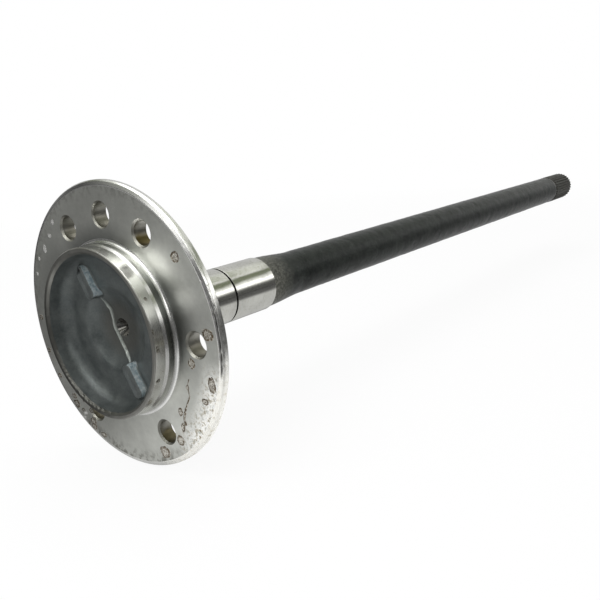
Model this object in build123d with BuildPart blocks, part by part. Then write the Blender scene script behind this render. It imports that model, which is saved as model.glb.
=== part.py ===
"""Rear axle shaft of a light truck: a wheel flange forged in one piece with its splined shaft.

The axle lies along Y. The flange face that the brake drum and the wheel bolt against is at
Y = 0 and faces -Y, and the shaft runs in +Y to its splined end. +Z is up, through the access
hole. Lengths are in millimetres and angles in degrees.
"""

import os
from math import acos, cos, degrees, pi, radians, tan

from build123d import *

# Flange
flange_radius = 90.0
flange_thickness = 10.0
rim_thickness = 4.6
back_land_radius = 80.0
face_edge_width = 2.6
face_edge_depth = 1.2

# Pilots that centre the wheel and the brake drum
wheel_pilot_radius = 53.0
wheel_pilot_end = 15.4
drum_pilot_radius = 53.75
drum_pilot_end = 5.9
drum_pilot_lead = 2.0
pilot_edge = 0.6
pilot_root_fillet = 2.0

# Holes through the flange, at angles from +X towards +Z
stud_circle_radius = 69.85
stud_count = 6
stud_hole_radius = 7.15
access_hole_radius = 7.4
access_hole_angle = 90.0
hole_mouth_radius = 8.3

# Forged cavity inside the pilots
mouth_radius = 50.4
mouth_edge = 1.4
wall_draft = 14.0
wall_foot_fillet = 9.0
ledge_depth = 13.5
dish_radius = 27.3
dish_depth = 6.5
dish_floor_radius = 17.0
dish_floor_rise = 1.4
dish_edge_fillet = 6.0

# Driving lugs that stand on the ledge of the cavity
lug_angle = -60.0
lug_count = 2
lug_width = 8.0
lug_height = 5.0
lug_inner_reach = 22.5
lug_outer_reach = 44.5
lug_corner_fillet = 3.5
lug_edge = 0.6
lug_draft = 3.0
lug_root = 4.0

# Forged ridge that crosses the dish beside the centre hole, with its route along the lugs' line
ridge_width = 1.8
ridge_height = 1.1
ridge_bend = 6.0
ridge_route = [(-23.0, -1.9), (-12.5, -1.9), (-3.0, -6.8), (8.0, -6.8), (23.5, -4.5)]

# Centre holes that the axle was turned between
centre_mouth_radius = 5.8
centre_pilot_radius = 2.65
centre_pilot_length = 4.0
centre_cone_angle = 60.0

# Hub behind the flange, bearing seat and its groove
hub_radius = 24.5
hub_end = 34.0
hub_fillet = 10.0
hub_taper_length = 9.0
seat_radius = 20.0
seat_end = 128.8
seat_edge = 0.8
groove_position = 87.0
groove_width = 1.8
groove_depth = 0.8

# Rough forged shaft
shoulder_radius = 18.9
shoulder_length = 11.0
shoulder_fillet = 30.0
shaft_radius = 17.0
shaft_start = 165.0

# Splined end
axle_length = 800.0
spline_length = 58.0
spline_teeth = 30
spline_module = 1.125
spline_pressure_angle = 45.0
spline_end_edge = 1.5
neck_radius = 16.0
neck_length = 4.0
neck_fillet = 2.0

cut_margin = 1.0

# Places along the axle that follow from the sizes above
ledge_y = ledge_depth - wheel_pilot_end
dish_y = ledge_y + dish_depth
lug_top_y = ledge_y - lug_height
spline_y = axle_length - spline_length
neck_y = spline_y - neck_length

# Radii of the flat-root involute spline
pitch_radius = spline_module * spline_teeth / 2
base_radius = pitch_radius * cos(radians(spline_pressure_angle))
tip_radius = pitch_radius + 0.5 * spline_module
root_radius = pitch_radius - 0.6 * spline_module


def corner(sketch, radius, y):
    """The vertex of a turned outline at this radius and place along the axle."""
    return sketch.vertices().sort_by_distance((radius, y))[0]


def dish_line(y):
    """Half the dish's section, from the centre hole's mouth at y out to the edge of the dish."""
    floor = TangentArc(
        (centre_mouth_radius, y), (dish_floor_radius, y - dish_floor_rise), tangent=(1, 0)
    )
    TangentArc(floor @ 1, (dish_radius, y - dish_depth), tangent=floor % 1)


def centre_hole_points(y, inwards):
    """Half the section of a centre hole from its mouth at y, drilled along +Y (1) or -Y (-1)."""
    slope = tan(radians(centre_cone_angle / 2))
    cone_end = y + inwards * (centre_mouth_radius - centre_pilot_radius) / slope
    pilot_end = cone_end + inwards * centre_pilot_length
    return [
        (centre_mouth_radius, y),
        (centre_pilot_radius, cone_end),
        (centre_pilot_radius, pilot_end),
        (0, pilot_end + inwards * centre_pilot_radius * slope),
    ]


def gap_point(radius, side):
    """Where one flank (-1 or 1) of the tooth gap centred on +X crosses a radius."""
    pitch_angle = radians(spline_pressure_angle)
    flank_angle = acos(base_radius / radius)
    half_tooth = pi / (2 * spline_teeth) + tan(pitch_angle) - pitch_angle - tan(flank_angle) + flank_angle
    half_gap = degrees(pi / spline_teeth - half_tooth)
    return Vector(radius, 0).rotate(Axis.Z, side * half_gap)


os.makedirs("parts", exist_ok=True)

with BuildPart() as ridge:
    with BuildSketch(Plane.XZ.offset(-dish_y - cut_margin)):
        with BuildLine(Plane.XY.rotated((0, 0, lug_angle))) as route:
            FilletPolyline(*ridge_route, radius=ridge_bend)
        trace(route.line, line_width=ridge_width)
    extrude(amount=dish_depth + ridge_height + 2 * cut_margin)
    with BuildSketch(Plane.XY):
        with BuildLine():
            dish_line(dish_y - ridge_height)
            Polyline(
                (dish_radius, ledge_y - ridge_height),
                (dish_radius, dish_y + cut_margin),
                (centre_mouth_radius, dish_y + cut_margin),
                (centre_mouth_radius, dish_y - ridge_height),
            )
        make_face()
    revolve(axis=Axis.Y, mode=Mode.INTERSECT)

with BuildPart() as lugs:
    with BuildSketch(Plane.XZ.offset(-lug_top_y)):
        with PolarLocations((lug_inner_reach + lug_outer_reach) / 2, lug_count, start_angle=lug_angle):
            RectangleRounded(lug_outer_reach - lug_inner_reach, lug_width, lug_corner_fillet)
    extrude(amount=-lug_height - lug_root, taper=-lug_draft)
    chamfer(lugs.faces().sort_by(Axis.Y)[:lug_count].edges(), lug_edge)

with BuildPart() as axle_shaft:
    # Turned and forged body, from the end of the wheel pilot to the splined end's centre hole
    with BuildSketch(Plane.XY) as body:
        with BuildLine():
            Polyline(
                (0, -wheel_pilot_end),
                (wheel_pilot_radius - pilot_edge, -wheel_pilot_end),
                (wheel_pilot_radius, pilot_edge - wheel_pilot_end),
                (wheel_pilot_radius, -drum_pilot_end - drum_pilot_lead),
                (drum_pilot_radius, -drum_pilot_end),
                (drum_pilot_radius, 0),
                (flange_radius - face_edge_width, 0),
                (flange_radius, face_edge_depth),
                (flange_radius, rim_thickness),
                (back_land_radius, flange_thickness),
                (hub_radius, flange_thickness),
                (hub_radius, hub_end),
                (seat_radius, hub_end + hub_taper_length),
                (seat_radius, groove_position - groove_width / 2),
                (seat_radius - groove_depth, groove_position - groove_width / 2),
                (seat_radius - groove_depth, groove_position + groove_width / 2),
                (seat_radius, groove_position + groove_width / 2),
                (seat_radius, seat_end - seat_edge),
                (seat_radius - seat_edge, seat_end),
                (shoulder_radius, seat_end + shoulder_length),
                (shaft_radius, shaft_start),
                (shaft_radius, neck_y - shaft_radius + neck_radius),
                (neck_radius, neck_y),
                (neck_radius, spline_y),
                (tip_radius, spline_y + tip_radius - neck_radius),
                (tip_radius, axle_length - spline_end_edge),
                (tip_radius - spline_end_edge, axle_length),
                *centre_hole_points(axle_length, -1),
                close=True,
            )
        make_face()
        fillet(corner(body, drum_pilot_radius, 0), pilot_root_fillet)
        fillet(corner(body, hub_radius, flange_thickness), hub_fillet)
        fillet(corner(body, shoulder_radius, seat_end + shoulder_length), shoulder_fillet)
        fillet(corner(body, neck_radius, neck_y), neck_fillet)
    revolve(axis=Axis.Y)

    # Forged cavity: a bevelled mouth, a drafted wall, a flat ledge and a dish with a centre hole
    wall_top_radius = mouth_radius - mouth_edge
    wall_top_y = mouth_edge - wheel_pilot_end
    wall_foot_radius = wall_top_radius - (ledge_y - wall_top_y) * tan(radians(wall_draft))
    with BuildSketch(Plane.XY) as cavity:
        with BuildLine():
            dish_line(dish_y)
            Polyline(
                (dish_radius, ledge_y),
                (wall_foot_radius, ledge_y),
                (wall_top_radius, wall_top_y),
                (mouth_radius + cut_margin, -wheel_pilot_end - cut_margin),
                (0, -wheel_pilot_end - cut_margin),
                *reversed(centre_hole_points(dish_y, 1)),
            )
        make_face()
        fillet(corner(cavity, wall_foot_radius, ledge_y), wall_foot_fillet)
        fillet(corner(cavity, dish_radius, ledge_y), dish_edge_fillet)
    revolve(axis=Axis.Y, mode=Mode.SUBTRACT)

    # Forged details on the ledge and in the dish
    add(lugs.part)
    add(ridge.part)

    # Stud holes, and the access hole on the same circle
    with Locations(Plane.XZ):
        with PolarLocations(stud_circle_radius, stud_count):
            CounterSinkHole(stud_hole_radius, hole_mouth_radius, flange_thickness + cut_margin, 90)
        with PolarLocations(stud_circle_radius, 1, start_angle=access_hole_angle):
            CounterSinkHole(access_hole_radius, hole_mouth_radius, flange_thickness + cut_margin, 90)

    # Spline teeth, left standing by the gaps between them
    with BuildSketch(mode=Mode.PRIVATE) as tooth_gap:
        with BuildLine():
            flanks = [
                ThreePointArc(
                    gap_point(root_radius, side),
                    gap_point(pitch_radius, side),
                    gap_point(tip_radius + cut_margin / 2, side),
                )
                for side in (-1, 1)
            ]
            Line(flanks[0] @ 0, flanks[1] @ 0)
            Line(flanks[0] @ 1, flanks[1] @ 1)
        make_face()
    with BuildSketch(Plane.XZ.offset(-axle_length - cut_margin)):
        with PolarLocations(0, spline_teeth):
            add(tooth_gap.sketch)
    extrude(amount=spline_length + cut_margin, mode=Mode.SUBTRACT)

axle_shaft.part.label = "axle_shaft"
export_step(axle_shaft.part, "parts/axle_shaft.step")
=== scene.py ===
"""The rear axle shaft dressed for its picture: turned, ground and forged steel with oil spots.

The axle lies along +Y from its flange face at Y = 0, with +Z up. Shapes are written in
millimetres, with angles in degrees from +X towards +Z, and become metres when a mesh is made.
"""

from math import acos, atan2, cos, degrees, hypot, pi, radians, sin, tan

import bmesh
import bpy
from mathutils import Euler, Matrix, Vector, noise


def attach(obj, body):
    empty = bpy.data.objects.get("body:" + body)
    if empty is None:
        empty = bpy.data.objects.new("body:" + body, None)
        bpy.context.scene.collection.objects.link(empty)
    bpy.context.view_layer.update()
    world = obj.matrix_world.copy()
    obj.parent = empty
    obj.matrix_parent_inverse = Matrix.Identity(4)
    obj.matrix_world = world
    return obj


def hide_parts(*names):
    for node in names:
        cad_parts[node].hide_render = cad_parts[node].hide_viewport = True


MM = 0.001
NODE = "axle_shaft"
RIGHT = Vector((1, 0, 0))
UP = Vector((0, 0, 1))

# Flange, whose front edge is corners of radius, place along the axle and fillet
flange_radius = 90.0
flange_thickness = 10.0
face_border = 86.7
front_edge = [(87.3, 0.0, 0.8), (89.25, 0.85, 0.9), (flange_radius, 2.0, 1.2)]
rim_seam = 2.9
rim_thickness = 4.6
back_land_radius = 80.0

# Scored line beside the front edge
score_radius = 88.35
score_half_width = 0.65
score_depth = 0.4

# Where the front edge is knocked and the cavity's mouth is chipped most
knock_angle = 8.0
chip_angle = 232.0

# Pilots
wheel_pilot_radius = 53.0
wheel_pilot_end = 15.4
drum_pilot_radius = 53.75
drum_pilot_end = 5.9
drum_pilot_lead = 2.0
pilot_edge = 0.6
pilot_root_fillet = 2.0

# Holes, each with the oil that lies in it from 0 to 1
stud_circle_radius = 69.85
stud_hole_radius = 7.15
access_hole_radius = 7.4
access_hole_angle = 90
hole_mouth_radius = 8.3
hole_back_edge = 0.15
hole_oil = {0: 0.35, 60: 1.0, 90: 0.3, 120: 0.3, 180: 0.3, 240: 0.6, 300: 0.8}

# Cavity
mouth_radius = 50.4
mouth_edge = 1.4
wall_draft = 14.0
wall_foot_fillet = 9.0
ledge_depth = 13.5
ledge_y = ledge_depth - wheel_pilot_end
dish_radius = 27.3
dish_depth = 6.5
dish_y = ledge_y + dish_depth
dish_floor_radius = 17.0
dish_floor_rise = 1.4
dish_edge_fillet = 6.0

# Centre holes at both ends
centre_mouth_radius = 5.8
centre_pilot_radius = 2.65
centre_pilot_length = 4.0
centre_point_length = 1.5
centre_cone_length = (centre_mouth_radius - centre_pilot_radius) / tan(radians(30.0))

# Lugs and ridge, in the frame of the lugs: u along them and v across
lug_angle = -60.0
lug_half_width = 4.0
lug_height = 5.0
lug_top_y = ledge_y - lug_height
lug_inner_reach = 22.5
lug_outer_reach = 44.5
lug_half_length = (lug_outer_reach - lug_inner_reach) / 2
lug_corner = 3.5
lug_edge = 0.7
lug_foot = 1.1
ridge_route = [(-23.0, -1.9), (-12.5, -1.9), (-3.0, -6.8), (8.0, -6.8), (23.5, -4.5)]
ridge_bend = 6.0
ridge_height = 1.1
ridge_half_width = 0.95

# Hub, bearing seat and shaft
hub_radius = 24.5
hub_end = 34.0
hub_fillet = 10.0
hub_taper_length = 9.0
seat_radius = 20.0
seat_end = 128.8
seat_edge = 0.8
groove_position = 87.0
groove_width = 1.8
groove_depth = 0.8
shoulder_radius = 18.9
shoulder_end = 139.8
shaft_radius = 17.0
shaft_start = 165.0

# Splined end
axle_length = 800.0
spline_y = 742.0
neck_y = 738.0
neck_radius = 16.0
spline_teeth = 30
spline_module = 1.125
spline_pressure_angle = 45.0
spline_end_edge = 1.5

# Drops of oil on the flange face: radius, angle, width and height
oil_drops = [
    (78.1, 38.6, 7.0, 6.2), (80.5, 5.3, 8.6, 7.6), (65.5, 349.7, 5.6, 5.8),
    (82.1, 344.4, 6.4, 9.4), (79.6, 335.4, 5.2, 4.2), (66.7, 318.8, 4.2, 5.6),
    (78.8, 306.6, 6.4, 6.6), (81.1, 292.6, 9.0, 8.4), (64.6, 335.2, 2.6, 3.4),
    (83.6, 181.7, 4.6, 4.0), (84.8, 197.6, 4.4, 3.2), (84.5, 210.7, 4.6, 3.6),
    (80.9, 223.4, 5.4, 4.0), (83.4, 226.8, 6.6, 6.0), (81.4, 239.9, 6.6, 4.4),
    (84.6, 241.3, 6.0, 4.6), (84.2, 248.2, 6.4, 3.6),
]

# Dried pale dabs on the flange face, in the same way
pale_dabs = [
    (81.4, 128.5, 3.6, 3.4), (78.9, 135.8, 3.6, 3.0), (79.2, 144.5, 3.4, 5.0),
    (83.0, 152.0, 2.4, 2.6), (83.4, 160.0, 2.4, 3.0), (82.0, 233.5, 5.0, 2.6),
    (86.0, 234.0, 4.0, 2.0),
]

# Dark crust beside the lowest stud hole, in the same way
crust = [
    (75.6, 236.4, 4.6, 3.4), (79.0, 239.6, 4.0, 3.0), (81.8, 231.8, 4.4, 2.6),
    (74.6, 229.0, 2.6, 4.2), (86.2, 238.0, 3.4, 2.2),
]

# Smudges on the wheel pilot: angle and place along the axle, then width and height
pilot_smudges = [
    (10.1, -14.2, 3.4, 1.6), (358.8, -13.2, 4.2, 2.4),
    (337.0, -12.4, 3.0, 3.2), (30.1, -11.4, 2.4, 2.0),
]

# A run of oil on the flange face, as places across it and up it
oil_run = [
    (60.6, -21.6), (58.6, -26.2), (59.6, -32.6), (57.3, -36.6),
    (54.4, -42.2), (52.4, -47.6), (53.4, -52.0),
]

# What metal mirrors of the room, as the height of the direction and the light there
room_levels = [
    (-1.0, 1.0), (-0.45, 0.9), (-0.34, 0.2), (-0.05, 0.08),
    (0.05, 0.12), (0.12, 0.5), (0.18, 1.0), (0.38, 1.0),
    (0.42, 0.2), (0.58, 0.17), (0.65, 1.0), (0.71, 0.95),
    (0.735, 0.3), (0.77, 0.3), (0.82, 0.9), (1.0, 0.9),
]

# Camera, fitted to the photograph
camera_place = (0.3451, -0.2453, 0.1137)
camera_angles = (73.580, 3.758, 38.104)
camera_lens = 41.557
camera_shift = (-0.0011, 0.0443)

# Floor, in metres
floor_radius = 1.6
floor_y = 0.35
floor_z = -0.0905


def clamp(value):
    """The value, kept between 0 and 1."""
    return max(0.0, min(1.0, value))


def fractal(place, size):
    """Noise between about -1 and 1 whose largest lumps are size millimetres across."""
    return noise.fractal(place / size, 1.0, 2.0, 3)


def turned(vector, angle):
    """A flat vector turned by an angle in radians."""
    across = vector.x * cos(angle) - vector.y * sin(angle)
    return Vector((across, vector.x * sin(angle) + vector.y * cos(angle)))


def direction_at(points, index):
    """The direction of a line of points at one of them."""
    return (points[min(index + 1, len(points) - 1)] - points[max(index - 1, 0)]).normalized()


def rounded(corners, step=8.0, run=None):
    """An outline through (r, y) or (r, y, fillet) corners, with arcs cut every step degrees and
    straight runs no longer than run."""
    places = [Vector(corner[:2]) for corner in corners]
    points = []
    for index, here in enumerate(places):
        if len(corners[index]) < 3 or index in (0, len(corners) - 1):
            points.append(here)
            continue
        fillet = corners[index][2]
        back = (places[index - 1] - here).normalized()
        ahead = (places[index + 1] - here).normalized()
        half = back.angle(ahead) / 2
        centre = here + (back + ahead).normalized() * (fillet / sin(half))
        start = here + back * (fillet / tan(half)) - centre
        turn = start.angle_signed(here + ahead * (fillet / tan(half)) - centre)
        count = max(2, round(abs(degrees(turn)) / step))
        points += [centre + turned(start, -turn * k / count) for k in range(count + 1)]
    if not run:
        return points
    cut = [points[0]]
    for here, ahead in zip(points, points[1:]):
        count = max(1, round((ahead - here).length / run))
        cut += [here.lerp(ahead, k / count) for k in range(1, count + 1)]
    return cut


def arc(start, end, slope):
    """Points of the arc from start to end that leaves start in the direction slope."""
    start, end, slope = Vector(start), Vector(end), Vector(slope).normalized()
    chord = end - start
    turn = 2 * slope.angle_signed(chord)
    count = max(3, round(abs(degrees(turn)) / 1.5))
    points = []
    for k in range(1, count + 1):
        half = turn * (k / count) / 2
        length = chord.length * sin(half) / sin(turn / 2)
        points.append(start + turned(slope, -half) * length)
    return points


def on_lathe(radius, y, angle, centre=(0.0, 0.0)):
    """The place, in millimetres, at a radius, a height along the axle and an angle in radians."""
    return Vector((centre[0] + radius * cos(angle), y, centre[1] + radius * sin(angle)))


def angle_of(place):
    """The angle of a place round the axle, from +X towards +Z, between -180 and 180 degrees."""
    return degrees(atan2(place.z, place.x))


def add_object(name, data):
    """A new object in the scene."""
    made = bpy.data.objects.new(name, data)
    bpy.context.scene.collection.objects.link(made)
    return made


class Shape:
    """A mesh in the making, in millimetres, whose layers hold each vertex's wear and painted highlight, and
    its oil, dirt and painted shade.
    """

    def __init__(self):
        self.bm = bmesh.new()
        self.wear_and_highlight = self.bm.verts.layers.float.new("wear_and_highlight")
        self.oil_dirt_and_shade = self.bm.verts.layers.float.new("oil_dirt_and_shade")

    def skin(self, rows, closed=True, material=0, inwards=False):
        """Quads between rows of equal length, each row closed into a ring or left open."""
        made = [[self.bm.verts.new(p) for p in row] for row in rows]
        count = len(made[0])
        for row, after in zip(made, made[1:]):
            for k in range(count if closed else count - 1):
                n = (k + 1) % count
                corners = [row[k], after[k], after[n], row[n]]
                face = self.bm.faces.new(corners[::-1] if inwards else corners)
                face.material_index = material
        return made

    def lathe(self, outline, columns, material=0, relief=None, centre=(0.0, 0.0), inwards=False):
        """Turns an outline that runs towards +Y on the outside, or towards -Y on the inside."""
        rows = []
        for index, point in enumerate(outline):
            slope = direction_at(outline, index)
            row = []
            for k in range(columns):
                angle = 2 * pi * k / columns
                place = on_lathe(point.x, point.y, angle, centre)
                if relief:
                    normal = Vector((slope.y * cos(angle), -slope.x, slope.y * sin(angle)))
                    place += normal * relief(place)
                row.append(place)
            rows.append(row)
        return self.skin(rows, material=material, inwards=inwards)

    def cap(self, *loops):
        """Fills the flat area between rings of vertices."""
        edges = []
        for loop in loops:
            for a, b in zip(loop, loop[1:] + loop[:1]):
                edges.append(self.bm.edges.get((a, b)) or self.bm.edges.new((a, b)))
        bmesh.ops.triangle_fill(self.bm, use_beauty=True, edges=edges)

    def mark(self, rows, layer, values):
        """Writes one layer of rows of vertices, from as many rows of values."""
        for verts, row in zip(rows, values):
            for vert, value in zip(verts, row):
                vert[layer] = value

    def finish(self, name, *materials, sharp=60.0):
        """The object, riding on the axle and standing for its solid."""
        bmesh.ops.remove_doubles(self.bm, verts=self.bm.verts, dist=0.002)
        mesh = bpy.data.meshes.new(name)
        bmesh.ops.scale(self.bm, vec=(MM, MM, MM), verts=self.bm.verts)
        self.bm.to_mesh(mesh)
        self.bm.free()
        for material in materials:
            mesh.materials.append(material)
        mesh.shade_smooth()
        mesh.set_sharp_from_angle(angle=radians(sharp))
        piece = add_object(name, mesh)
        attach(piece, "root")
        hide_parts(NODE)
        return piece


class Nodes:
    """Makes the nodes of a material or world. Their inputs are values or the sockets of other nodes."""

    def __init__(self, owner):
        owner.use_nodes = True
        self.owner = owner
        self.tree = owner.node_tree

    def feed(self, node, inputs):
        """Sets a node's inputs to values or links them to sockets."""
        for name, value in inputs.items():
            if isinstance(value, bpy.types.NodeSocket):
                self.tree.links.new(value, node.inputs[name])
            else:
                node.inputs[name].default_value = value

    def node(self, kind, inputs=None, **settings):
        """A node with its settings and its inputs."""
        made = self.tree.nodes.new("ShaderNode" + kind)
        for name, value in settings.items():
            setattr(made, name, value)
        self.feed(made, inputs or {})
        return made

    def maths(self, operation, *values):
        """The result of a maths node."""
        return self.node("Math", dict(enumerate(values)), operation=operation).outputs[0]

    def scaled(self, value, factor, offset):
        """A value times a factor, plus an offset."""
        return self.maths("MULTIPLY_ADD", value, factor, offset)

    def product(self, first, *others):
        """The values multiplied together."""
        for value in others:
            first = self.maths("MULTIPLY", first, value)
        return first

    def spread(self, value, low, high, to_low=0.0, to_high=1.0):
        """Maps a value from one range to another, clamped."""
        inputs = {"Value": value, "From Min": low, "From Max": high, "To Min": to_low, "To Max": to_high}
        return self.node("MapRange", inputs).outputs[0]

    def blend(self, factor, first, second):
        """Mixes two colours."""
        first, second = [(*c, 1.0) if isinstance(c, tuple) else c for c in (first, second)]
        return self.node("Mix", {0: factor, 6: first, 7: second}, data_type="RGBA").outputs[2]

    def place(self):
        """The surface's place in metres."""
        return self.node("TexCoord").outputs["Object"]

    def parts(self, vector):
        """The X, Y and Z of a vector."""
        return self.node("SeparateXYZ", {"Vector": vector}).outputs[:3]

    def from_axle(self):
        """The distance from the axle's line in metres."""
        x, y, z = self.parts(self.place())
        return self.maths("SQRT", self.maths("ADD", self.product(x, x), self.product(z, z)))

    def radius(self):
        """The distance from the axle's line in millimetres."""
        return self.product(self.from_axle(), 1 / MM)

    def grain(self, vector, scale, detail=3.0, roughness=0.5):
        """Noise at the places that a vector gives."""
        inputs = {"Vector": vector, "Scale": scale, "Detail": detail, "Roughness": roughness}
        return self.node("TexNoise", inputs).outputs["Fac"]

    def cloud(self, scale, detail=4.0, roughness=0.55):
        """Noise all over the surface."""
        return self.grain(self.place(), scale, detail, roughness)

    def ring_marks(self, scale):
        """Noise that is the same all the way round the axle, as a tool leaves it."""
        y = self.parts(self.place())[1]
        return self.grain(self.node("CombineXYZ", {"X": self.from_axle(), "Y": y}).outputs[0], scale)

    def streaks(self, count, length):
        """Noise drawn out along the flange's radii."""
        x, y, z = self.parts(self.place())
        radius = self.radius()
        inputs = {
            "X": self.maths("DIVIDE", self.product(x, count / MM), radius),
            "Y": self.maths("DIVIDE", radius, length),
            "Z": self.maths("DIVIDE", self.product(z, count / MM), radius),
        }
        return self.grain(self.node("CombineXYZ", inputs).outputs[0], 1.0, 3.0, 0.6)

    def toward(self, angle, wide, narrow):
        """1 within narrow degrees of a direction on the flange, fading to 0 at wide degrees."""
        x, y, z = self.parts(self.place())
        along = self.scaled(z, sin(radians(angle)), self.product(x, cos(radians(angle))))
        cosine = self.maths("DIVIDE", self.product(along, 1 / MM), self.radius())
        return self.spread(cosine, cos(radians(wide)), cos(radians(narrow)))

    def layer(self, name):
        """How worn or oily the mesh says the surface is."""
        return self.node("Attribute", attribute_name=name).outputs["Fac"]

    def rays(self):
        """1 for rays from the camera, and 1 for rays that metal or glass mirrors or lets through."""
        path = self.node("LightPath").outputs
        mirrored = self.maths("MAXIMUM", path["Is Glossy Ray"], path["Is Transmission Ray"])
        return path["Is Camera Ray"], mirrored


class Finish(Nodes):
    """A material in the making, with the colour and the roughness that it has so far."""

    def __init__(self, name, metallic=1.0):
        super().__init__(bpy.data.materials.new(name))
        self.shader = next(n for n in self.tree.nodes if n.type == "BSDF_PRINCIPLED")
        self.feed(self.shader, {"Metallic": metallic})
        self.colour = None
        self.rough = None

    def stain(self, colour, *shares):
        """Mixes a colour over the one so far, by the product of some shares from 0 to 1."""
        self.colour = self.blend(self.product(*shares), self.colour, colour)

    def roughen(self, share, amount):
        """Adds to the roughness by a share from 0 to 1."""
        self.rough = self.scaled(share, amount, self.rough)

    def bump(self, *heights):
        """Stacks bumps, each a (height, strength, distance in millimetres)."""
        normal = None
        for height, strength, distance in heights:
            inputs = {"Height": height, "Strength": strength, "Distance": distance * MM}
            if normal:
                inputs["Normal"] = normal
            normal = self.node("Bump", inputs).outputs[0]
        self.feed(self.shader, {"Normal": normal})

    def done(self, **inputs):
        """The material with its colour, its roughness and other inputs of its shader."""
        self.feed(self.shader, {"Base Color": self.colour, "Roughness": self.rough, **inputs})
        return self.owner


def turned_steel(name, colour, roughness, marks, anisotropy, uneven=0.15):
    """Steel that was turned or ground round the axle."""
    steel = Finish(name)
    fine = steel.ring_marks(2600.0)
    broad = steel.ring_marks(320.0)
    worn = steel.cloud(60.0)
    dull = tuple(c * (1 - uneven) for c in colour)
    steel.colour = steel.blend(steel.spread(worn, 0.35, 0.7), colour, dull)
    steel.rough = steel.spread(steel.maths("ADD", worn, fine), 0.6, 1.4, roughness * 0.8, roughness * 1.25)
    tangent = steel.node("Tangent", direction_type="RADIAL", axis="Y").outputs[0]
    steel.feed(steel.shader, {"Anisotropic": anisotropy, "Anisotropic Rotation": 0.25, "Tangent": tangent})
    steel.bump((fine, marks, 0.02), (broad, marks * 0.5, 0.05))
    return steel


def face_finish():
    """The turned flange face, with painted shade and a painted dark reflection round the boss, a painted
    highlight towards the lower left, smears and frosted grease near the rim.
    """
    steel = turned_steel("turned_face", (0.64, 0.65, 0.605), 0.32, 0.14, 0.5, 0.12)
    radius = steel.radius()
    steel.stain((0.33, 0.33, 0.31), steel.spread(steel.cloud(260.0, 6.0, 0.7), 0.35, 0.65), 0.22)
    # Painted shade above the boss, and a painted dark reflection of the boss on its right
    painted_boss_shade = steel.product(steel.spread(radius, 56.0, 68.0, 0.66, 0.0), steel.toward(102.0, 40.0, 20.0))
    beside = steel.product(steel.spread(radius, 57.0, 76.0, 0.76, 0.0), steel.toward(10.0, 36.0, 18.0))
    steel.stain((0.13, 0.135, 0.13), steel.maths("MAXIMUM", painted_boss_shade, beside))
    shade = steel.spread(radius, 60.0, 80.0, 0.55, 0.0)
    steel.stain((0.16, 0.165, 0.16), shade, steel.toward(152.0, 20.0, 8.0))
    # Painted highlight: the face lighter in a sector towards the lower left
    steel.stain((0.97, 0.98, 0.92), steel.toward(216.0, 20.0, 10.0), 0.7)
    thick = steel.spread(steel.streaks(22.0, 5.0), 0.48, 0.58)
    above = steel.product(steel.toward(118.0, 75.0, 50.0), 0.4)
    below = steel.maths("MAXIMUM", steel.toward(268.0, 42.0, 25.0), above)
    steel.stain((0.17, 0.165, 0.14), thick, steel.spread(radius, 78.0, 86.0), below, 0.75)
    frosted = steel.product(steel.toward(328.0, 27.0, 12.0), steel.spread(radius, 71.0, 84.0))
    pale = steel.product(frosted, steel.spread(steel.cloud(420.0, 5.0, 0.7), 0.4, 0.5))
    clumps = steel.cloud(330.0, 5.0, 0.7)
    brown = steel.product(frosted, steel.spread(clumps, 0.51, 0.56))
    steel.stain((0.98, 0.98, 0.95), pale, 0.95)
    steel.stain((0.47, 0.42, 0.3), brown, 0.7)
    steel.stain((0.17, 0.12, 0.06), frosted, steel.spread(clumps, 0.57, 0.62), 0.8)
    steel.stain((0.1, 0.09, 0.07), steel.spread(steel.cloud(1500.0, 2.0, 0.5), 0.74, 0.8))
    steel.roughen(steel.maths("MAXIMUM", pale, brown), 0.2)
    return steel.done(Metallic=steel.scaled(pale, -0.9, 1.0))


def edge_finish():
    """The bright front edge and rim, knocked and dirty on the side that was dropped, with the scored line
    painted near black as dirt and painted shade.
    """
    steel = turned_steel("bright_edge", (0.86, 0.86, 0.83), 0.24, 0.2, 0.3)
    flecks = steel.spread(steel.cloud(500.0, 5.0, 0.7), 0.5, 0.62)
    steel.stain((0.22, 0.18, 0.11), steel.toward(0.0, 34.0, 14.0), flecks, 0.3)
    steel.stain((0.29, 0.29, 0.28), steel.toward(126.0, 50.0, 26.0), 0.72)
    frosted = steel.toward(322.0, 36.0, 18.0)
    steel.stain((0.97, 0.96, 0.9), frosted, 0.85)
    steel.stain((0.55, 0.5, 0.38), frosted, steel.spread(steel.cloud(380.0, 5.0, 0.7), 0.53, 0.6), 0.6)
    # The scored line painted near black: dirt in it and painted shade
    dirt_and_shade = steel.layer("oil_dirt_and_shade")
    steel.stain((0.03, 0.03, 0.028), dirt_and_shade)
    steel.roughen(dirt_and_shade, 0.3)
    return steel.done(Metallic=steel.scaled(frosted, -0.85, 1.0))


def bore_finish():
    """Drilled holes, with a painted highlight on the outer side of one hole, and brown oil in their lower
    halves.
    """
    steel = turned_steel("drilled_hole", (0.33, 0.325, 0.29), 0.44, 0.2, 0.0, 0.3)
    # Painted highlight on the outer side of the hole at 60 degrees
    steel.stain((0.8, 0.79, 0.75), steel.spread(steel.radius(), 71.0, 74.0), steel.toward(64.0, 20.0, 14.0))
    steel.stain((0.1, 0.075, 0.018), steel.layer("oil_dirt_and_shade"), 0.92)
    return steel.done()


def seat_finish():
    """The ground bearing seat, with its groove painted near black as shade."""
    steel = turned_steel("ground_seat", (0.76, 0.76, 0.71), 0.18, 0.5, 0.5)
    steel.stain((0.36, 0.35, 0.28), steel.spread(steel.cloud(650.0, 5.0, 0.75), 0.52, 0.66), 0.45)
    # Painted shade: the groove near black
    dirt_and_shade = steel.layer("oil_dirt_and_shade")
    steel.stain((0.012, 0.013, 0.012), dirt_and_shade)
    steel.roughen(dirt_and_shade, 0.4)
    return steel.done()


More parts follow.
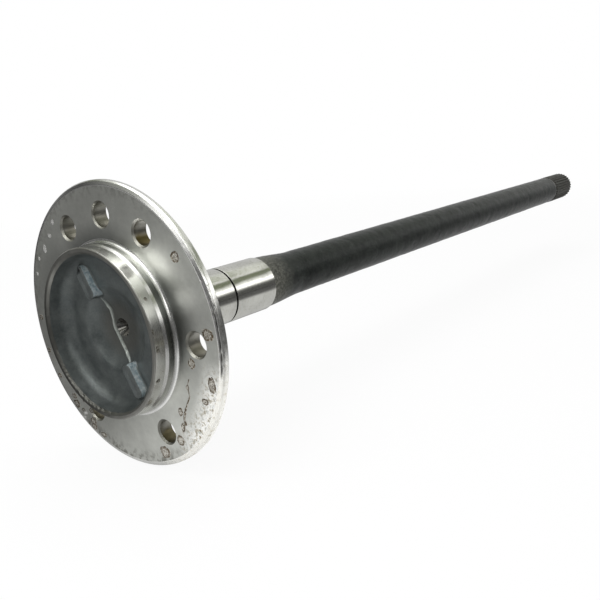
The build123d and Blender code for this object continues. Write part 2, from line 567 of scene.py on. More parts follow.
def lip_finish():
    """The forged mouth of the boss, darker on the side where it is chipped."""
    steel = turned_steel("mouth_lip", (0.3, 0.298, 0.275), 0.42, 0.2, 0.2, 0.35)
    steel.stain((0.085, 0.085, 0.078), steel.toward(212.0, 75.0, 45.0), 0.85)
    return steel.done()


def dull_finish():
    """The drum pilot, darker towards its right side."""
    steel = turned_steel("dull_pilot", (0.56, 0.565, 0.54), 0.26, 0.25, 0.45)
    steel.stain((0.16, 0.17, 0.16), steel.toward(14.0, 38.0, 24.0), 0.85)
    return steel.done()


def forged_steel(name, dark, light, roughness, relief, metallic):
    """Steel with the dark scale of the forge on it."""
    steel = Finish(name, metallic)
    patches = steel.cloud(90.0, 6.0, 0.6)
    grains = steel.cloud(900.0, 4.0, 0.6)
    scale = steel.spread(steel.scaled(grains, 0.5, patches), 0.55, 1.0)
    steel.colour = steel.blend(scale, dark, light)
    steel.rough = steel.spread(patches, 0.3, 0.7, roughness * 0.85, roughness * 1.2)
    steel.bump((patches, 0.4 * relief, 0.4), (grains, 0.35 * relief, 0.12))
    return steel


def shaft_finish():
    """Dark scale along the shaft, thinner and browner on the shoulder beside the bearing seat."""
    steel = forged_steel("rough_shaft", (0.001, 0.0025, 0.002), (0.02, 0.024, 0.02), 0.45, 2.2, 0.0)
    steel.feed(steel.shader, {"Specular IOR Level": 0.2, "Sheen Weight": 0.34, "Sheen Roughness": 0.3})
    y = steel.parts(steel.place())[1]
    broad = steel.product(steel.cloud(70.0), 0.3)
    speckle = steel.scaled(steel.cloud(480.0, 5.0, 0.75), 0.7, broad)
    steel.stain((0.032, 0.04, 0.033), steel.spread(speckle, 0.5, 0.6), steel.spread(y, 0.2, 0.5, 0.5, 0.15))
    uneven = steel.scaled(steel.cloud(120.0), 0.02, y)
    shoulder = steel.spread(uneven, 0.141, 0.165, 1.0, 0.0)
    mottle = steel.spread(steel.cloud(700.0, 5.0, 0.7), 0.4, 0.62)
    steel.stain(steel.blend(mottle, (0.04, 0.041, 0.033), (0.16, 0.16, 0.135)), shoulder)
    steel.roughen(shoulder, 0.12)
    return steel.done()


def cavity_finish(name, bare_and_highlight_dark, bare_and_highlight_light):
    """Forge scale in the cavity, browner in the dish, with bare steel where the mesh marks wear, a painted
    highlight where it marks one, and painted shadow where it marks shade.
    """
    steel = forged_steel(name, (0.066, 0.076, 0.076), (0.12, 0.132, 0.128), 0.4, 0.8, 0.5)
    steel.stain((0.068, 0.064, 0.053), steel.spread(steel.radius(), 13.0, 21.0, 1.0, 0.0), 0.6)
    mottle = steel.cloud(380.0, 5.0, 0.65)
    bare_and_highlight = steel.blend(steel.spread(mottle, 0.38, 0.7), bare_and_highlight_dark, bare_and_highlight_light)
    steel.stain(bare_and_highlight, steel.layer("wear_and_highlight"), steel.spread(mottle, 0.25, 0.45, 0.7, 1.0))
    # Painted shadow, near black, where the mesh marks it, as in the upper lug's broken corner
    steel.stain((0.006, 0.008, 0.007), steel.layer("oil_dirt_and_shade"))
    return steel.done()


def drop_finish():
    """Thin oil that has dried brown at its rim and in curled lines."""
    film = Finish("oil_drop", 0.85)
    film.feed(film.shader, {"Coat Weight": 0.7, "Coat Roughness": 0.08})
    rim = film.layer("wear_and_highlight")
    curls = film.cloud(750.0, 3.0, 0.6)
    ring = film.product(film.spread(rim, 0.5, 0.7), film.spread(rim, 0.92, 1.0, 1.0, 0.4))
    ring = film.product(ring, film.spread(curls, 0.37, 0.5, 0.2, 1.0))
    lines = film.spread(film.maths("ABSOLUTE", film.maths("SUBTRACT", curls, 0.5)), 0.0, 0.075, 0.95, 0.0)
    film.colour = film.blend(film.maths("MAXIMUM", ring, lines), (0.66, 0.645, 0.58), (0.095, 0.062, 0.026))
    film.rough = film.spread(curls, 0.3, 0.7, 0.16, 0.34)
    film.bump((curls, 0.8, 0.4))
    return film.done()


def dried_film(name, metallic, dark, light, blur, roughness):
    """A dried film in two mottled colours, whose border is as soft as blur, between two roughnesses."""
    film = Finish(name, metallic)
    curls = film.cloud(900.0, 3.0, 0.6)
    film.colour = film.blend(film.spread(curls, 0.5 - blur, 0.5 + blur), dark, light)
    film.rough = film.spread(curls, 0.3, 0.7, *roughness)
    film.bump((curls, 0.4, 0.3))
    return film.done()


def score(place):
    """How deep the scored line beside the front edge is, from 0 to 1."""
    turn = angle_of(place)
    inside = max(0.0, 1.0 - abs(hypot(place.x, place.z) - score_radius) / score_half_width)
    reach = clamp(min((27.0 - turn) / 18.0, (turn + 11.0) / 3.0))
    return inside * reach * clamp(1.15 + 1.3 * noise.noise(place / 3.2))


def knocks(place):
    """How far the front edge stands out, which is below 0 where it is knocked or scored."""
    harder = 0.03 + 2.6 * max(0.0, 1.0 - abs(angle_of(place) - knock_angle) / 36.0)
    on_edge = 1.0 if 0.02 < place.y < 3.5 else 0.0
    dent = on_edge * harder * 0.16 * max(0.0, fractal(place, 5.0) - 0.12)
    return -dent - score_depth * score(place)


def flange(face, edge, bore):
    """The flange: its face and back round the holes, the bright front edge, the rim and the holes."""
    shape = Shape()
    columns = 720
    hole_columns = 72
    front = rounded([(face_border, 0.0), *front_edge, (flange_radius, rim_seam)], step=6.0, run=0.2)
    corners = [
        (flange_radius, rim_seam),
        (flange_radius, rim_thickness, 0.5),
        (back_land_radius, flange_thickness, 1.0),
        (back_land_radius - 1.0, flange_thickness),
    ]
    back = rounded(corners, step=12.0, run=2.0)
    rim = shape.lathe(front + back[1:], columns, 1, knocks)
    # Marks the scored line to be painted dark, as dirt and painted shade
    for row in rim:
        for vert in row:
            vert[shape.oil_dirt_and_shade] = min(1.0, 1.6 * score(vert.co))
    root = drum_pilot_radius + pilot_root_fillet
    hub_root = hub_radius + hub_fillet
    front_lip = [Vector((root - 0.5, 0.0)), Vector((root, 0.0))]
    back_lip = [Vector((hub_root, flange_thickness)), Vector((hub_root - 0.5, flange_thickness))]
    mouths, backs = [], []
    for angle, oil_dirt_and_shade in hole_oil.items():
        radius = access_hole_radius if angle == access_hole_angle else stud_hole_radius
        corners = [
            (hole_mouth_radius, 0.0),
            (radius, hole_mouth_radius - radius, 0.25),
            (radius, flange_thickness - hole_back_edge, 0.1),
            (radius + hole_back_edge, flange_thickness),
        ]
        outline = rounded(corners, step=15.0, run=1.2)
        centre = (stud_circle_radius * cos(radians(angle)), stud_circle_radius * sin(radians(angle)))
        rows = shape.lathe(outline, hole_columns, 2, centre=centre, inwards=True)
        for row in rows[3:]:
            for k, vert in enumerate(row):
                low = -sin(2 * pi * k / hole_columns + 0.35 * noise.noise(vert.co / 4.0))
                vert[shape.oil_dirt_and_shade] = oil_dirt_and_shade * clamp(0.25 + 1.8 * low)
        mouths.append(rows[0])
        backs.append(rows[-1])
    shape.cap(rim[0], shape.lathe(front_lip, columns)[1], *mouths)
    shape.cap(rim[-1], shape.lathe(back_lip, columns)[0], *backs)
    return shape.finish("flange", face, edge, bore, sharp=20.0)


def chips(place):
    """How far the mouth of the cavity stands out, which is below 0 where it is chipped."""
    low = clamp(1.4 - abs(angle_of(place) % 360 - chip_angle) / 50.0)
    inner = clamp((51.9 - hypot(place.x, place.z)) / 0.6)
    return -(0.05 + 0.6 * low) * inner * max(0.0, fractal(place, 2.6) - 0.02)


def boss(steel, lip_steel, dull_steel):
    """The two pilots outside, the end face and the bevelled mouth of the cavity, chipped low down."""
    shape = Shape()
    columns = 480
    lip_y = mouth_edge - wheel_pilot_end
    edge_y = pilot_edge - wheel_pilot_end
    seam = (wheel_pilot_radius - 0.05, edge_y - 0.05)
    corners = [
        (mouth_radius - mouth_edge - 0.1, lip_y + 0.4),
        (mouth_radius - mouth_edge, lip_y, 0.2),
        (mouth_radius, -wheel_pilot_end, 0.4),
        (wheel_pilot_radius - pilot_edge, -wheel_pilot_end, 0.3),
        seam,
    ]
    lip = rounded(corners, step=20.0, run=0.4)
    corners = [
        seam,
        (wheel_pilot_radius, edge_y, 0.04),
        (wheel_pilot_radius, -drum_pilot_end - drum_pilot_lead, 0.5),
        (drum_pilot_radius - 0.02, -drum_pilot_end - 0.05),
    ]
    outside = rounded(corners, step=8.0)
    corners = [
        (drum_pilot_radius, -pilot_root_fillet - 0.01),
        (drum_pilot_radius, 0.0, pilot_root_fillet),
        (drum_pilot_radius + pilot_root_fillet, 0.0),
    ]
    root = rounded(corners, step=6.0)
    shape.lathe(lip, columns, 1, chips)
    shape.lathe(outside, columns)
    shape.lathe([outside[-1], Vector((drum_pilot_radius, -drum_pilot_end)), root[0]], columns, 2)
    shape.lathe(root, columns)
    return shape.finish("pilot_boss", steel, lip_steel, dull_steel, sharp=30.0)


def hub(steel):
    """The hub behind the flange, its taper, the groove and the bearing seat."""
    shape = Shape()
    start = groove_position - groove_width / 2
    end = groove_position + groove_width / 2
    corners = [
        (hub_radius + hub_fillet, flange_thickness),
        (hub_radius, flange_thickness, hub_fillet - 0.01),
        (hub_radius, hub_end, 1.5),
        (seat_radius, hub_end + hub_taper_length, 2.0),
        (seat_radius, start, 0.15),
        (seat_radius - groove_depth, start, 0.2),
        (seat_radius - groove_depth, end, 0.2),
        (seat_radius, end, 0.15),
        (seat_radius, seat_end - seat_edge, 0.3),
        (seat_radius - seat_edge, seat_end),
    ]
    outline = rounded(corners, step=12.0, run=8.0)
    # Marks the groove, to be painted dark as shade on the seat
    for row, point in zip(shape.lathe(outline, 240), outline):
        for vert in row:
            vert[shape.oil_dirt_and_shade] = float(point.x < seat_radius - 0.3 and point.y < end + 1)
    return shape.finish("bearing_seat", steel, sharp=35.0)


def shaft(steel):
    """The forged shoulder and the rough shaft, with the lumps of the forging."""
    shape = Shape()
    corners = [
        (seat_radius - seat_edge, seat_end),
        (shoulder_radius, shoulder_end, 30.0),
        (shaft_radius, shaft_start, 60.0),
        (shaft_radius, neck_y - shaft_radius + neck_radius),
        (neck_radius, neck_y),
    ]
    outline = rounded(corners, step=3.0, run=1.6)

    def lumps(place):
        """How far the surface stands out, fading to nothing at both ends."""
        ends = min(1.0, (place.y - seat_end) / 6.0, (neck_y - place.y) / 6.0)
        return max(ends, 0.0) * (0.16 * fractal(place, 9.0) + 0.07 * fractal(place, 2.5))

    shape.lathe(outline, 150, relief=lumps)
    return shape.finish("forged_shaft", steel)


def splined_end(steel, bright):
    """The neck, the involute teeth with bevelled ends, the end face and its centre hole."""
    shape = Shape()
    pitch_angle = radians(spline_pressure_angle)
    pitch_radius = spline_module * spline_teeth / 2
    base_radius = pitch_radius * cos(pitch_angle)
    tip_radius = pitch_radius + 0.5 * spline_module
    root_radius = pitch_radius - 0.6 * spline_module

    def half_gap(radius):
        """Half the angle of the gap between two teeth at a radius."""
        flank = acos(base_radius / radius)
        half_tooth = pi / (2 * spline_teeth) + tan(pitch_angle) - pitch_angle - tan(flank) + flank
        return pi / spline_teeth - half_tooth

    flank_radii = [root_radius + (tip_radius - root_radius) * k / 4 for k in range(5)]
    teeth = []
    for k in range(spline_teeth):
        middle = 2 * pi * k / spline_teeth
        teeth += [(r, middle - half_gap(r)) for r in reversed(flank_radii)]
        teeth += [(r, middle + half_gap(r)) for r in flank_radii]

    def section(y, limit):
        """The teeth's outline at a place along the axle, cut down to a radius."""
        return [on_lathe(min(r, limit), y, a) for r, a in teeth]

    step_out = tip_radius - neck_radius
    teeth_start = spline_y + step_out
    teeth_end = axle_length - spline_end_edge
    end_radius = tip_radius - spline_end_edge
    stations = [(neck_y, neck_radius), (spline_y, neck_radius)]
    stations += [(spline_y + step_out * k / 2, neck_radius + step_out * k / 2) for k in (1, 2)]
    stations += [(teeth_start + (teeth_end - teeth_start) * k / 12, tip_radius) for k in range(1, 13)]
    stations += [(axle_length - spline_end_edge / 2, tip_radius - spline_end_edge / 2)]
    stations += [(axle_length, end_radius)]
    shape.skin([section(y, limit) for y, limit in stations])
    shape.skin([section(axle_length, limit) for limit in (end_radius, centre_mouth_radius)], material=1)
    cone_end = axle_length - centre_cone_length
    pilot_end = cone_end - centre_pilot_length
    corners = [
        (centre_mouth_radius, axle_length),
        (centre_pilot_radius, cone_end),
        (centre_pilot_radius, pilot_end),
        (0.01, pilot_end - centre_point_length),
    ]
    hole = rounded(corners)
    shape.lathe(hole, 48, 1)
    return shape.finish("splined_end", steel, bright, sharp=25.0)


def centre_hole(bright):
    """The centre hole in the dish."""
    shape = Shape()
    cone_end = dish_y + centre_cone_length
    pilot_end = cone_end + centre_pilot_length
    corners = [
        (0.01, pilot_end + centre_point_length),
        (centre_pilot_radius, pilot_end),
        (centre_pilot_radius, cone_end, 0.3),
        (centre_mouth_radius, dish_y - 0.02),
    ]
    hole = rounded(corners, step=15.0, run=1.0)
    shape.lathe(hole, 96)
    return shape.finish("centre_hole", bright, sharp=35.0)


def cavity_outline():
    """Half the section of the cavity, from the centre hole's mouth to the top of the wall."""
    wall_top_radius = mouth_radius - mouth_edge
    wall_top_y = mouth_edge - wheel_pilot_end
    wall_foot_radius = wall_top_radius - (ledge_y - wall_top_y) * tan(radians(wall_draft))
    middle = Vector((centre_mouth_radius, dish_y))
    edge = Vector((dish_radius, ledge_y))
    floor = arc(middle, (dish_floor_radius, dish_y - dish_floor_rise), (1.0, 0.0))
    side = arc(floor[-1], edge, floor[-1] - floor[-2])
    dish = [middle, *floor, *(p for p in side if (p - edge).length > 3.2)]
    corners = [tuple(p) for p in dish] + [
        (dish_radius, ledge_y, dish_edge_fillet),
        (wall_foot_radius, ledge_y, wall_foot_fillet),
        (wall_top_radius, wall_top_y),
    ]
    return rounded(corners, step=5.0, run=0.6)


def floor_at(radius):
    """The level of the cavity's floor at a distance from the axle's line."""
    for here, ahead in zip(cavity_line, cavity_line[1:]):
        if here.x <= radius <= ahead.x:
            return here.y + (ahead.y - here.y) * (radius - here.x) / (ahead.x - here.x)
    return cavity_line[0].y if radius < cavity_line[0].x else cavity_line[-1].y


def in_lug_frame(u, v, y):
    """The place at u along the lugs, v across them and y along the axle."""
    turn = radians(lug_angle)
    return Vector((u * cos(turn) - v * sin(turn), y, u * sin(turn) + v * cos(turn)))


def cavity(steel):
    """The forged inside of the boss: dish, ledge and wall, with the lumps of the forging."""
    shape = Shape()
    wall_top_y = cavity_line[-1].y

    def lumps(place):
        """How far the surface stands out, fading to nothing at the centre hole and the mouth."""
        ends = min(1.0, (hypot(place.x, place.z) - centre_mouth_radius) / 2.0, (place.y - wall_top_y) / 1.5)
        return max(ends, 0.0) * (0.13 * fractal(place, 9.0) + 0.04 * fractal(place, 2.0))

    shape.lathe(cavity_line, 320, relief=lumps)
    return shape.finish("forged_cavity", steel)


def lug_outline(middle, grow):
    """A lug's outline grown or shrunk by some millimetres, with the direction it faces at each point."""
    half_length = lug_half_length + grow
    half_width = lug_half_width + grow
    radius = max(0.05, lug_corner + grow)
    points = []
    for quarter, (across, along) in enumerate(((1, 1), (-1, 1), (-1, -1), (1, -1))):
        centre = Vector((across * (half_length - radius), along * (half_width - radius)))
        for k in range(9):
            turn = pi / 2 * (quarter + k / 8)
            points.append((centre + radius * Vector((cos(turn), sin(turn))), turn))
        if quarter in (0, 2):
            corner = points[-1][0]
            for k in range(1, 24):
                slide = -across * 2 * (half_length - radius) * k / 24
                points.append((corner + Vector((slide, 0.0)), turn))
    return [(Vector((p.x + middle, p.y)), turn) for p, turn in points]


def lug_wear_and_highlight(place, turn, drop, part, side):
    """How bare a lug is on its side that takes the load, with a faint painted highlight along its other
    edge.
    """
    facing = max(sin(turn), cos(turn) * 1.2) if side > 0 else sin(turn)
    patchy = 0.25 * noise.noise(place / 2.2)
    on_side = clamp((drop - 0.25) / 0.3) * clamp(1 - (part - 1) * 2.2)
    # A faint painted highlight along the top's other edge
    edge_highlight = 0.28 * max(0.0, 1 - abs(drop - 0.25) / 0.3) * max(0.0, -sin(turn)) if part == 0.0 else 0.0
    return max(on_side * clamp((facing - 0.35 + patchy) / 0.25), edge_highlight * (1 + 2 * patchy))


def lug(name, steel, side):
    """A driving lug on the ledge. Its side that takes the load is worn bluish, its other edge has a faint
    painted highlight, and the upper lug's broken corner is painted near black as shadow.
    """
    shape = Shape()
    middle = side * (lug_inner_reach + lug_outer_reach) / 2
    quarter = [pi / 2 * k / 5 for k in range(6)]
    top = (-4.0, -3.45, -2.6, -1.8, -1.2)
    draft = ((0.04, 0.2), (0.08, 0.4), (0.13, 0.6), (0.18, 0.8), (0.22, 1.0))
    # Each row's growth past the outline, its drop below the top, and its part of the way: 0 on the
    # top and its rounded edge, up to 1 down the side and up to 2 round the foot. The first row is
    # the top's middle line
    levels = [(grow, 0.0, 0.0) for grow in top]
    levels += [(-lug_edge * (1 - sin(a)), lug_edge * (1 - cos(a)), 0.0) for a in quarter]
    levels += [(grow, lug_edge, part) for grow, part in draft]
    levels += [(0.22 + lug_foot * (1 - cos(a)), lug_edge, 1 + sin(a)) for a in quarter[1:]]
    rows, wear_and_highlight_rows, pit_shades = [], [], []
    for grow, drop, part in levels:
        row, wear_and_highlight, dirt_and_shade = [], [], []
        for point, turn in lug_outline(middle, max(grow, top[1])):
            if grow == top[0]:
                point.y = 0.0
            floor = floor_at(hypot(point.x, point.y))
            shoulder = lug_top_y + drop
            foot_top = max(shoulder + 0.3, floor - lug_foot)
            if part <= 1:
                y = shoulder + (foot_top - shoulder) * part
            else:
                y = foot_top + (floor + 0.12 - foot_top) * (part - 1)
            place = in_lug_frame(point.x, point.y, y)
            lumps = 0.12 * fractal(place, 5.0) + 0.05 * fractal(place, 1.8)
            if part < 1.9:
                place += in_lug_frame(cos(turn), sin(turn), -0.5) * lumps
            along = (point.x - middle) * side / lug_half_length
            broken = side < 0 and along > 0.6 and point.y < 1.5
            if broken and part < 1.0:
                place.y += 1.6 * min(1.0, (along - 0.6) / 0.25)
            row.append(place)
            wear_and_highlight.append(lug_wear_and_highlight(place, turn, drop, part, side))
            # Painted shadow: the broken corner of the upper lug painted near black
            dirt_and_shade.append(0.9 * min(1.0, (along - 0.55) / 0.3) if broken else 0.0)
        rows.append(row)
        wear_and_highlight_rows.append(wear_and_highlight)
        pit_shades.append(dirt_and_shade)
    made = shape.skin(rows)
    shape.mark(made, shape.wear_and_highlight, wear_and_highlight_rows)
    shape.mark(made, shape.oil_dirt_and_shade, pit_shades)
    return shape.finish(name, steel)


def ridge(steel):
    """The narrow forged bead that crosses the dish beside the centre hole, with a painted highlight along
    its crest.
    """
    shape = Shape()
    route = [ridge_route[0], *((*p, ridge_bend) for p in ridge_route[1:-1]), ridge_route[-1]]
    curve = rounded(route, step=6.0, run=0.4)
    total = len(curve) - 1
    rows, wear_and_highlight_rows = [], []
    for index, point in enumerate(curve):
        ahead = direction_at(curve, index)
        taper = min(1.0, 0.25 + index / total * 5.0, 0.25 + (total - index) / total * 5.0)
        uneven = 1.0 + 0.25 * noise.noise(Vector((index * 0.12, 0.0, 0.0)))
        row, wear_and_highlight = [], []
        for k in range(-6, 7):
            part = k / 6
            skirt, sunk = (0.5, 0.1) if abs(k) == 6 else (0.0, 0.0)
            width = (ridge_half_width * (0.55 + 0.45 * taper) + skirt) * part
            u, v = point.x - ahead.y * width, point.y + ahead.x * width
            rise = ridge_height * taper * uneven * (1 - part * part) ** 0.5 - sunk
            row.append(in_lug_frame(u, v, floor_at(hypot(u, v)) - rise))
            patchy_highlight = 0.85 + 0.5 * noise.noise(Vector((index * 0.2, k, 0)))
            # Painted highlight along the crest, lighter in the middle and patchy
            wear_and_highlight.append(0.68 * taper * (1 - abs(part) ** 3) * patchy_highlight)
        rows.append(row)
        wear_and_highlight_rows.append(wear_and_highlight)
    shape.mark(shape.skin(rows, closed=False), shape.wear_and_highlight, wear_and_highlight_rows)
    return shape.finish("forged_ridge", steel)


def spot(shape, centre, right, up, width, height, rise, seed):
    """A thin uneven drop on a surface, in its own plane, with its rim marked in the layer of wear and
    highlight.
    """
    normal = right.cross(up)
    columns = 36
    parts = [0.01, 0.2, 0.4, 0.58, 0.7, 0.8, 0.88, 0.94, 1.0]
    rows = []
    for part in parts:
        row = []
        for k in range(columns):
            angle = 2 * pi * k / columns
            wobble = noise.noise(Vector((1.3 * cos(angle), 1.3 * sin(angle), seed * 7.3)))
            wobble += 0.5 * noise.noise(Vector((3 * cos(angle), 3 * sin(angle), seed * 3.1)))
            reach = part * (1 + 0.22 * wobble) / 2
            lift = rise * (0.55 + 0.45 * sin(pi * part)) if part < 1.0 else -0.02
            place = centre + right * (width * reach * cos(angle)) + up * (height * reach * sin(angle))
            row.append(place + normal * lift)
        rows.append(row)
    shape.mark(shape.skin(rows), shape.wear_and_highlight, [[part] * columns for part in parts])


def face_spots(name, film, spots, rise):
    """Spots on the flange face, given by radius, angle, width and height."""
    shape = Shape()
    for seed, (radius, angle, width, height) in enumerate(spots):
        centre = on_lathe(radius, 0.0, radians(angle))
        spot(shape, centre, RIGHT, UP, width, height, rise, seed)
    return shape.finish(name, film)


def smudges(film):
    """Grease on the wheel pilot."""
    shape = Shape()
    for seed, (angle, y, width, height) in enumerate(pilot_smudges, 40):
        turn = radians(angle)
        centre = on_lathe(wheel_pilot_radius, y, turn)
        around = Vector((-sin(turn), 0, cos(turn)))
        spot(shape, centre, around, Vector((0, -1, 0)), width, height, 0.08, seed)
    return shape.finish("pilot_smudges", film)


def run_of_oil(film):
    """The run of oil down the flange face, a narrow bead that ends in a drop."""
    shape = Shape()
    curve = rounded([oil_run[0], *((*p, 2.5) for p in oil_run[1:-1]), oil_run[-1]], step=10.0, run=0.5)
    rows = []
    for index, point in enumerate(curve):
        ahead = direction_at(curve, index)
        part = index / (len(curve) - 1)
        half = (0.4 + 0.75 * part * part) * (1 + 0.5 * noise.noise(Vector((index * 0.35, 5.0, 0.0))))
        row = []
        for k in range(3, -4, -1):
            across = -half * k / 3
            lift = 0.3 * half * (1 - (k / 3) ** 2) - (0.02 if abs(k) == 3 else 0.0)
            row.append(Vector((point.x - ahead.y * across, -lift, point.y + ahead.x * across)))
        rows.append(row)
    for row in shape.skin(rows, closed=False):
        for vert in row:
            vert[shape.wear_and_highlight] = 0.85
    end = Vector((oil_run[-1][0] - 2.6, 0.0, oil_run[-1][1] - 1.6))
    spot(shape, end, RIGHT, UP, 3.4, 5.6, 0.5, 71)
    return shape.finish("oil_run", film)


def add_lamp(name, place, size, power, target=(0.0, 0.0, 0.0)):
    """A soft lamp of the given size in metres, aimed at a point."""
    data = bpy.data.lights.new(name, "AREA")
    data.shape = "RECTANGLE"
    data.size, data.size_y = size
    data.energy = power
    lamp = add_object(name, data)
    lamp.location = place
    lamp.rotation_euler = (Vector(target) - Vector(place)).to_track_quat("-Z", "Y").to_euler()
    lamp.visible_camera = False


def add_world():
    """White to the camera. Metal mirrors a room whose walls are dimmer than its ceiling and its
    lit side, and everything else is lit evenly."""
    world = bpy.data.worlds.new("studio")
    bpy.context.scene.world = world
    room = Nodes(world)
    x, y, z = room.parts(room.node("TexCoord").outputs["Generated"])
    lower = room.maths("SUBTRACT", z, room.spread(x, 0.2, 0.34, 0.0, 0.1))
    height = room.scaled(room.maths("MINIMUM", y, 0.0), 0.12, lower)
    ramp = room.node("ValToRGB", {"Fac": room.scaled(height, 0.5, 0.5)})
    stops = ramp.color_ramp.elements
    for place, level in room_levels:
        position = place * 0.5 + 0.5
        if place == room_levels[0][0]:
            stop = stops[0]
        elif place == room_levels[-1][0]:
            stop = stops[-1]
        else:
            stop = stops.new(position)
        stop.position = position
        green = 0.12 if level < 0.4 < place else 0.0
        stop.color = (level, level * (1 + green), level * (0.98 - 2 * green), 1.0)
    ahead = room.product(room.spread(x, 0.45, 0.15), room.spread(y, 0.1, -0.2))
    dark = room.product(ahead, room.spread(z, 0.35, 0.6, 1.0, 0.0))
    walls = room.blend(dark, ramp.outputs["Color"], room.spread(z, -0.06, 0.02, 0.42, 0.1))
    behind = room.product(room.spread(x, -0.15, -0.4), room.spread(y, 0.2, 0.5))
    walls = room.blend(behind, walls, (0.6, 0.6, 0.6))
    camera, mirrored = room.rays()
    light = room.blend(mirrored, (0.55, 0.55, 0.55), walls)
    background = next(n for n in room.tree.nodes if n.type == "BACKGROUND")
    room.feed(background, {"Color": room.blend(camera, light, (1.0, 1.0, 1.0)), "Strength": 1.0})


def floor_light(floor, x, y):
    """How bright metal sees the floor: dimmer further to the right, to the left and in front, with painted
    shadow of the flange close beside it and of the axle under it.
    """
    slanted = floor.scaled(floor.maths("MINIMUM", y, 0.35), 0.5, x)
    right = floor.spread(slanted, 0.3, 0.4, 1.0, 0.05)
    askew = floor.scaled(floor.maths("ABSOLUTE", x), -0.7, floor.product(y, -1.0))
    # Painted shadow of the flange on the floor near it, as metal sees the floor
    near = floor.spread(askew, -0.02, 0.05, 0.42, 1.0)
    near = floor.maths("MAXIMUM", near, floor.spread(y, -0.02, 0.03))
    far = floor.product(floor.spread(askew, 0.0, 0.25, 0.06, 0.95), floor.spread(x, -0.33, -0.2, 1.0, 0.5))
    beside = floor.spread(x, -0.14, -0.02)
    left = floor.scaled(floor.maths("SUBTRACT", near, far), beside, far)
    ahead = floor.scaled(y, -0.6, floor.product(x, 0.8))
    front = floor.spread(ahead, 0.15, 0.24, 1.0, 0.08)
    level = floor.maths("MINIMUM", floor.maths("MINIMUM", right, left), front)
    # Painted shadow of the axle on the floor under it
    return floor.product(level, floor.spread(y, 0.1, 0.16, 1.0, 0.6))


def add_floor():
    """A pale floor that keeps a faint shadow."""
    bm = bmesh.new()
    bmesh.ops.create_circle(bm, cap_ends=True, segments=64, radius=floor_radius)
    mesh = bpy.data.meshes.new("floor")
    bm.to_mesh(mesh)
    bm.free()
    ground = add_object("floor", mesh)
    ground.location = (0.0, floor_y, floor_z)
    floor = Nodes(bpy.data.materials.new("floor"))
    floor.tree.nodes.clear()
    place = floor.place()
    x, y, z = floor.parts(place)
    level = floor_light(floor, x, floor.maths("ADD", y, floor_y))
    camera, mirrored = floor.rays()
    away = floor.node("VectorMath", {0: place}, operation="LENGTH").outputs["Value"]
    open_floor = floor.spread(away, 0.6, 1.4, 0.9, 1.0)
    share = floor.product(floor.maths("MAXIMUM", camera, mirrored), open_floor)
    strength = floor.maths("MAXIMUM", camera, level)
    matt = floor.node("BsdfDiffuse", {"Color": (0.9, 0.9, 0.9, 1.0)})
    white = floor.node("Emission", {"Color": (1.0, 1.0, 1.0, 1.0), "Strength": strength})
    mixed = floor.node("MixShader", {0: share, 1: matt.outputs[0], 2: white.outputs[0]})
    floor.node("OutputMaterial", {"Surface": mixed.outputs[0]})
    mesh.materials.append(floor.owner)


def add_camera():
    """The photograph's view."""
    data = bpy.data.cameras.new("camera")
    data.lens = camera_lens
    data.shift_x, data.shift_y = camera_shift
    data.clip_start = 0.01
    camera = add_object("camera", data)
    camera.location = camera_place
    camera.rotation_euler = Euler([radians(a) for a in camera_angles], "XYZ")
    bpy.context.scene.camera = camera


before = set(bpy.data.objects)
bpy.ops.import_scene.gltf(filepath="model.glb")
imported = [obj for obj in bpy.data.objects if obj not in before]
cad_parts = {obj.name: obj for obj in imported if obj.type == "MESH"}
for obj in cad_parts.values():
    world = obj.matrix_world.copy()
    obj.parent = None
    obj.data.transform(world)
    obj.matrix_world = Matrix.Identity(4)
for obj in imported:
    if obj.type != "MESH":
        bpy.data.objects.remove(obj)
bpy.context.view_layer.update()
cavity_line = cavity_outline()

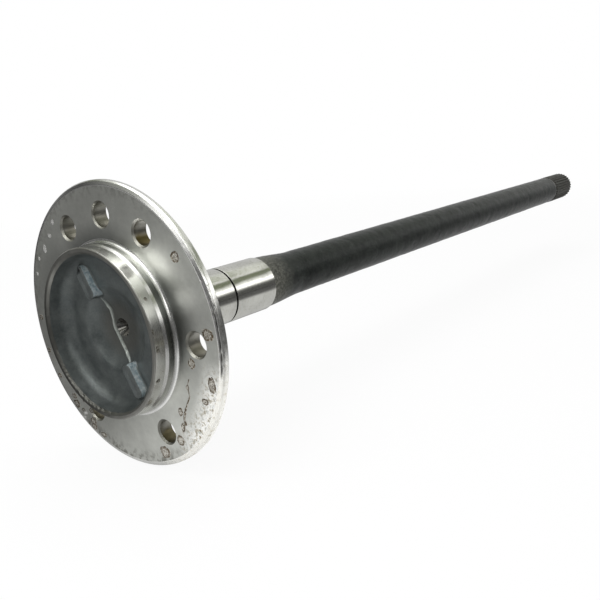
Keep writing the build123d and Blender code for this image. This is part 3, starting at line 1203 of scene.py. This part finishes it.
pilot_steel = turned_steel("polished_pilot", (0.79, 0.79, 0.77), 0.25, 0.25, 0.45).done()
centre_steel = turned_steel("centre_drilling", (0.24, 0.235, 0.22), 0.2, 0.0, 0.0).done()
cavity_steel = cavity_finish("forge_scale", (0.33, 0.44, 0.49), (0.85, 0.9, 0.9))
# The ridge's crest gets a painted highlight in these colours
ridge_steel = cavity_finish("highlit_ridge", (0.42, 0.48, 0.44), (0.82, 0.86, 0.8))
spline_steel = forged_steel("spline_steel", (0.026, 0.026, 0.021), (0.055, 0.054, 0.045), 0.5, 0.6, 0.2)
drop_film = drop_finish()
dab_film = dried_film("pale_dab", 0.3, (0.3, 0.3, 0.29), (0.5, 0.5, 0.48), 0.1, (0.3, 0.5))
grease = dried_film("grease_smudge", 0.6, (0.05, 0.045, 0.035), (0.35, 0.34, 0.3), 0.08, (0.3, 0.3))

flange(face_finish(), edge_finish(), bore_finish())
boss(pilot_steel, lip_finish(), dull_finish())
cavity(cavity_steel)
lug("lower_lug", cavity_steel, 1)
lug("upper_lug", cavity_steel, -1)
ridge(ridge_steel)
centre_hole(centre_steel)
hub(seat_finish())
shaft(shaft_finish())
splined_end(spline_steel.done(), centre_steel)
face_spots("oil_drops", drop_film, oil_drops, 0.2)
face_spots("pale_dabs", dab_film, pale_dabs, 0.1)
run_of_oil(drop_film)
face_spots("crust", grease, crust, 0.15)
smudges(grease)

add_floor()
add_world()
add_lamp("top_softbox", (-0.3, 0.2, 1.6), (1.6, 1.6), 12.0, (0.0, 0.25, 0.0))
add_lamp("side_softbox", (2.0, 1.3, 0.85), (3.4, 0.5), 5.0, (0.0, 0.3, 0.0))
add_lamp("front_softbox", (-0.12, -1.0, 1.3), (0.8, 0.6), 6.0)
add_lamp("strip_softbox", (-0.35, -1.35, 0.62), (0.9, 0.3), 1.2, (0.0, 0.0, 0.05))
add_lamp("right_softbox", (0.95, -0.8, 0.5), (0.5, 0.35), 1.1)
add_lamp("upper_softbox", (0.38, -0.75, 1.0), (0.45, 0.45), 1.3)
add_camera()

bpy.context.scene.view_settings.view_transform = "Standard"
